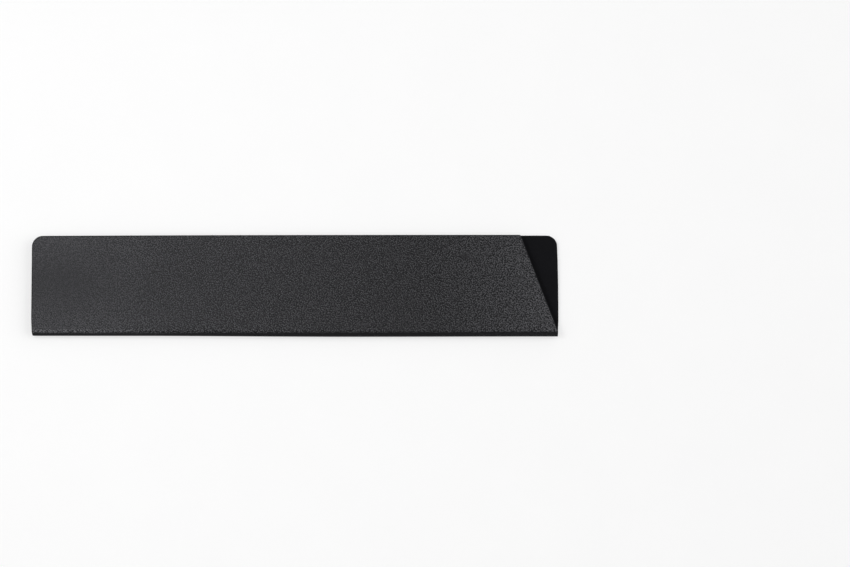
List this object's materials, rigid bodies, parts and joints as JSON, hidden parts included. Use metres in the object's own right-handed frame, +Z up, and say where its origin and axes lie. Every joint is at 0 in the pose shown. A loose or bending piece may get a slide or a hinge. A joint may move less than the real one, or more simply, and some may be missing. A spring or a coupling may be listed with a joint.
{
  "type": "knife blade case",
  "caption": "Long flat sleeve folded from felt-lined plastic sheet, open at the mouth and ends, that covers a kitchen knife's blade and opens by flexing at its spine.",
  "frame": {"origin": "on the table, under the middle of the case's box, with the case lying on its rear leaf", "axes": "+X from the tip end to the handle end, +Y from the folded spine to the open mouth, +Z up from the rear leaf to the front leaf"},
  "size_m": [0.267, 0.0516, 0.006],
  "materials": {
    "grained_plastic": "textured matte",
    "adhesive_film": "satin",
    "felt_lining": "pressed felt"
  },
  "bodies": {
    "rear_leaf": {"rear_shell": "grained_plastic", "rear_adhesive": "adhesive_film", "rear_felt": "felt_lining", "rear_spine_shell": "grained_plastic", "rear_spine_adhesive": "adhesive_film", "rear_spine_felt": "felt_lining"},
    "front_leaf": {"front_shell": "grained_plastic", "front_adhesive": "adhesive_film", "front_felt": "felt_lining", "front_spine_shell": "grained_plastic", "front_spine_adhesive": "adhesive_film", "front_spine_felt": "felt_lining"}
  },
  "joints": [
    {"name": "front_leaf_hinge", "type": "hinge", "parent": "rear_leaf", "child": "front_leaf", "pos_m": [0, -0.02428, 0.003], "axis": [1, 0, 0], "range_deg": [-1.5, 20], "stiffness_Nm_per_rad": 3.2, "deforming": ["rear_spine_shell", "rear_spine_adhesive", "rear_spine_felt", "front_spine_shell", "front_spine_adhesive", "front_spine_felt"]}
  ]
}
